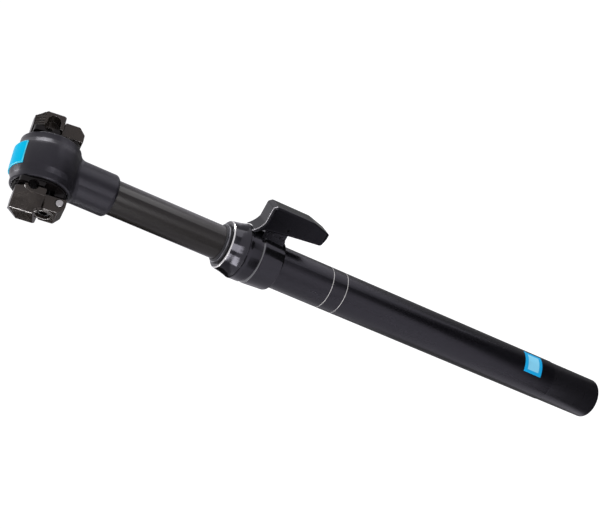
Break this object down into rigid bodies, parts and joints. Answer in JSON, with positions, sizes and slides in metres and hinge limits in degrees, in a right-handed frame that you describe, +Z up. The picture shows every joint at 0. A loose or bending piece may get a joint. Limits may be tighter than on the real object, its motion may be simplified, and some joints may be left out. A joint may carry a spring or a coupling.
{
  "type": "dropper seatpost",
  "caption": "Height-adjustable bicycle seatpost: clamping tube, sliding stanchion held by a squeeze-lever friction lock, and a tilting twin-rail saddle clamp.",
  "frame": {"origin": "on the post's axis, 30 mm below the underside of the collar, at the top of the stretch that a seat clamp can grip clear of the lever", "axes": "+Z up along the post, +X to the front end of the saddle rails, +Y across the bicycle; the collar's lever stands 47.5 degrees round from +X towards +Y"},
  "size_m": [0.058, 0.0714, 0.4985],
  "materials": {
    "tube_black": "satin black hard-anodised aluminium",
    "collar_black": "gloss black aluminium with bright cut edges",
    "cap_black": "satin black aluminium",
    "stanchion_grey": "dark hard-anodised, ground smooth",
    "head_black": "satin black forged aluminium",
    "plate_blue": "cyan-blue anodised aluminium",
    "clamp_black": "brown-black anodised forging, fine ribs",
    "lever_black": "gloss black moulding",
    "steel": "bright steel",
    "steel_black": "black oxide steel",
    "bronze": "bronze",
    "bare_aluminium": "bare turned aluminium",
    "bushing_plastic": "low-friction bearing plastic",
    "rubber_black": "black nitrile rubber",
    "bumper_grey": "firm grey polyurethane"
  },
  "bodies": {
    "tube_body": {"outer_tube": "tube_black", "end_plug": "bare_aluminium", "plug_o_ring": "rubber_black", "bottom_cap": "cap_black", "piston_rod": "bare_aluminium", "rod_washer": "steel", "rod_nut": "steel", "valve_core": "steel", "valve_cap": "rubber_black", "bottom_bumper": "bumper_grey", "top_bumper": "bumper_grey", "air_piston": "bare_aluminium", "piston_seal": "rubber_black", "piston_nut": "steel", "collar": "collar_black", "upper_bushing": "bushing_plastic", "collar_nut": "collar_black", "wiper_seal": "rubber_black", "wiper_ring": "steel", "lever_pin": "steel_black", "lock_gland": "steel_black", "lock_spring": "steel"},
    "lock_body": {"lock_shoe": "bronze", "lock_stem_nut": "steel"},
    "lever_body": {"lever": "lever_black"},
    "post_body": {"stanchion": "stanchion_grey", "guide_keys": "bronze", "lower_bushing": "bushing_plastic", "bushing_clip": "steel", "seal_head": "bare_aluminium", "rod_seal": "rubber_black", "head_plug": "bare_aluminium", "head_plug_o_ring": "rubber_black", "head": "head_black", "top_plate": "plate_blue"},
    "clamp_body": {"tilt_barrel": "bare_aluminium", "cradle_right": "clamp_black", "cradle_left": "clamp_black"},
    "jaw_right_body": {"jaw_right": "clamp_black", "fulcrum_pin_right": "steel", "clamp_bolt": "steel_black", "bolt_washer": "steel_black"},
    "jaw_left_body": {"jaw_left": "clamp_black", "fulcrum_pin_left": "steel", "nut_washer": "steel_black", "clamp_nut": "steel_black"}
  },
  "joints": [
    {"name": "post_slide", "type": "slide", "parent": "tube_body", "child": "post_body", "axis": [0, 0, 1], "range_m": [-0.08, 0], "stiffness_N_per_m": 150, "springref_m": 0.3},
    {"name": "lever_squeeze", "type": "hinge", "parent": "tube_body", "child": "lever_body", "pos_m": [0.02027, 0.02212, 0.0355], "axis": [-0.7373, 0.6756, 0], "range_deg": [0, 10], "stiffness_Nm_per_rad": 1.5, "springref_deg": -11.46},
    {"name": "lock_release", "type": "slide", "parent": "tube_body", "child": "lock_body", "axis": [0.6756, 0.7373, 0], "range_m": [0, 0.00148]},
    {"name": "saddle_tilt", "type": "hinge", "parent": "post_body", "child": "clamp_body", "pos_m": [0, 0, 0.209], "axis": [0, 1, 0], "range_deg": [-15, 20]},
    {"name": "jaw_right_open", "type": "slide", "parent": "clamp_body", "child": "jaw_right_body", "axis": [0, -1, 0], "range_m": [0, 0.003]},
    {"name": "jaw_left_open", "type": "slide", "parent": "clamp_body", "child": "jaw_left_body", "axis": [0, 1, 0], "range_m": [0, 0.003]}
  ],
  "couplings": [
    {"joint": "lever_squeeze", "follows": "lock_release", "rad_per_m": 117.6}
  ]
}
